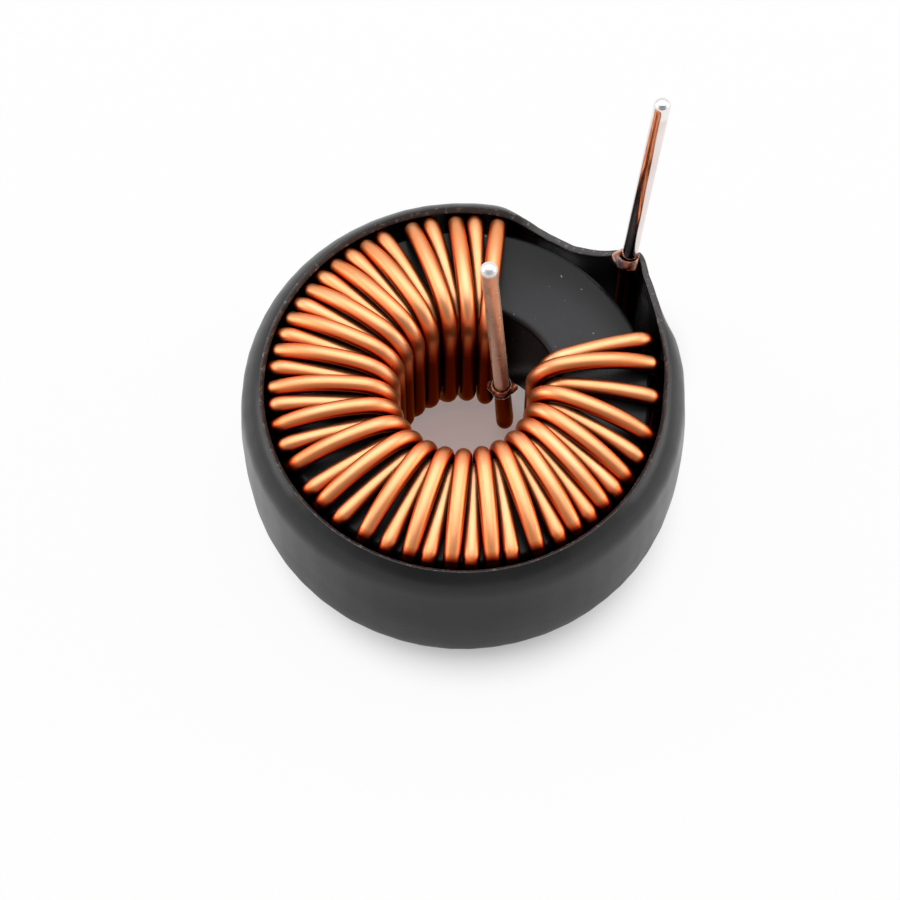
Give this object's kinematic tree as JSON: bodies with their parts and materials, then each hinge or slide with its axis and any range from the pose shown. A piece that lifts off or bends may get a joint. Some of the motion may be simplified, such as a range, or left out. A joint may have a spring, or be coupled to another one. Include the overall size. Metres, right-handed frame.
{
  "type": "toroidal inductor",
  "caption": "Toroidal power inductor: thick enamelled copper wire wound on a dark ring core, in a black shrunk sleeve, with tinned leads standing up from one side.",
  "frame": {"origin": "on the ring's axis, on the plane that the lowest turns rest on", "axes": "+Z along the ring's axis, up, the way the two leads point; the turns begin at azimuth 79.5 degrees from +X, and the outer lead stands at azimuth 41 degrees, towards +X and +Y"},
  "size_m": [0.0562, 0.0562, 0.0519],
  "materials": {
    "core_coating": "glossy epoxy coat, dark grey",
    "enamelled_copper": "clear glossy enamel over bright copper",
    "sleeve_black": "satin black shrunk tube",
    "solder": "bright smooth solder coat",
    "scorched_enamel": "glassy red-brown scorched enamel and flux"
  },
  "bodies": {
    "root": {"core": "core_coating", "winding": "enamelled_copper", "sleeve": "sleeve_black", "outer_lead_tinning": "solder", "inner_lead_tinning": "solder", "outer_lead_collar": "scorched_enamel", "inner_lead_collar": "scorched_enamel"}
  },
  "joints": []
}
